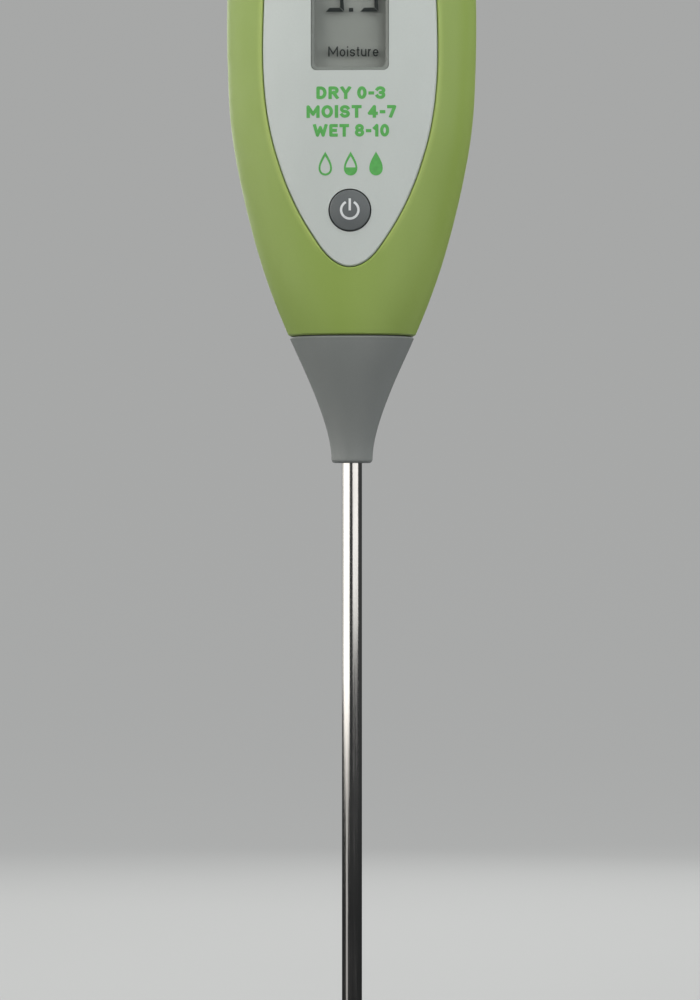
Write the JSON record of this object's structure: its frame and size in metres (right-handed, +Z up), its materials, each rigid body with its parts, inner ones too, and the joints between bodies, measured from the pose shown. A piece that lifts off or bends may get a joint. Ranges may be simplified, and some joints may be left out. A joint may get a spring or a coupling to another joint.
{
  "type": "soil moisture meter",
  "caption": "Hand-held soil moisture meter: rounded handle with numeric display and power button, grey nose cone, and a long metal probe with an insulated tip electrode.",
  "frame": {"origin": "on the probe's axis, at the nose cone's lower face, where the probe leaves the handle", "axes": "+Z up the probe axis towards the crown of the handle, -Y out of the face with the display, +X to the right of someone reading it"},
  "size_m": [0.0499, 0.0254, 0.296],
  "materials": {
    "housing_green": "satin, olive green",
    "face_plate": "satin, pale grey",
    "lens_clear": "polished clear acrylic",
    "foam": "black foam",
    "lcd": "liquid crystal cell, grey",
    "holder": "moulded, white",
    "elastomer": "layered silicone",
    "pcb": "fibreglass board with green mask",
    "epoxy": "black epoxy",
    "components": "ceramic and moulded bodies",
    "screw_steel": "zinc plated",
    "button": "satin, dark grey",
    "silicone": "translucent silicone",
    "carbon": "conductive carbon rubber",
    "cell": "printed sleeve over a steel can",
    "spring_steel": "nickel plated wire",
    "contact_plate": "nickel plated strip",
    "wire_red": "red insulation",
    "wire_black": "black insulation",
    "nose": "satin, mid grey",
    "stainless": "polished stainless steel",
    "brass": "turned",
    "plug": "moulded seal",
    "insulator": "black nylon"
  },
  "bodies": {
    "housing": {"front_shell": "housing_green", "rear_shell": "housing_green", "face_plate": "face_plate", "display_lens": "lens_clear", "display_gasket": "foam", "display_glass": "lcd", "display_holder": "holder", "contact_strip": "elastomer", "circuit_board": "pcb", "controller_chip": "epoxy", "board_components": "components", "board_screws": "screw_steel", "shell_screws": "screw_steel", "button_dome": "silicone", "battery_cell": "cell", "battery_spring": "spring_steel", "battery_contact_positive": "contact_plate", "battery_contact_negative": "contact_plate", "battery_lead_positive": "wire_red", "battery_lead_negative": "wire_black", "nose_cone": "nose", "probe_tube": "stainless", "probe_collar": "brass", "collar_plug": "plug", "tip_insulator": "insulator", "probe_tip": "stainless", "tip_lead": "wire_red", "tube_lead": "wire_black"},
    "button": {"power_button": "button", "contact_pill": "carbon"},
    "battery_door": {"battery_door": "housing_green"}
  },
  "joints": [
    {"name": "button_press", "type": "slide", "parent": "housing", "child": "button", "axis": [0, 1, 0], "range_m": [0, 0.0009], "stiffness_N_per_m": 900, "springref_m": -0.0002, "deforming": ["button_dome"]},
    {"name": "battery_door_slide", "type": "slide", "parent": "housing", "child": "battery_door", "axis": [0, 0, 1], "range_m": [0, 0.066]}
  ]
}
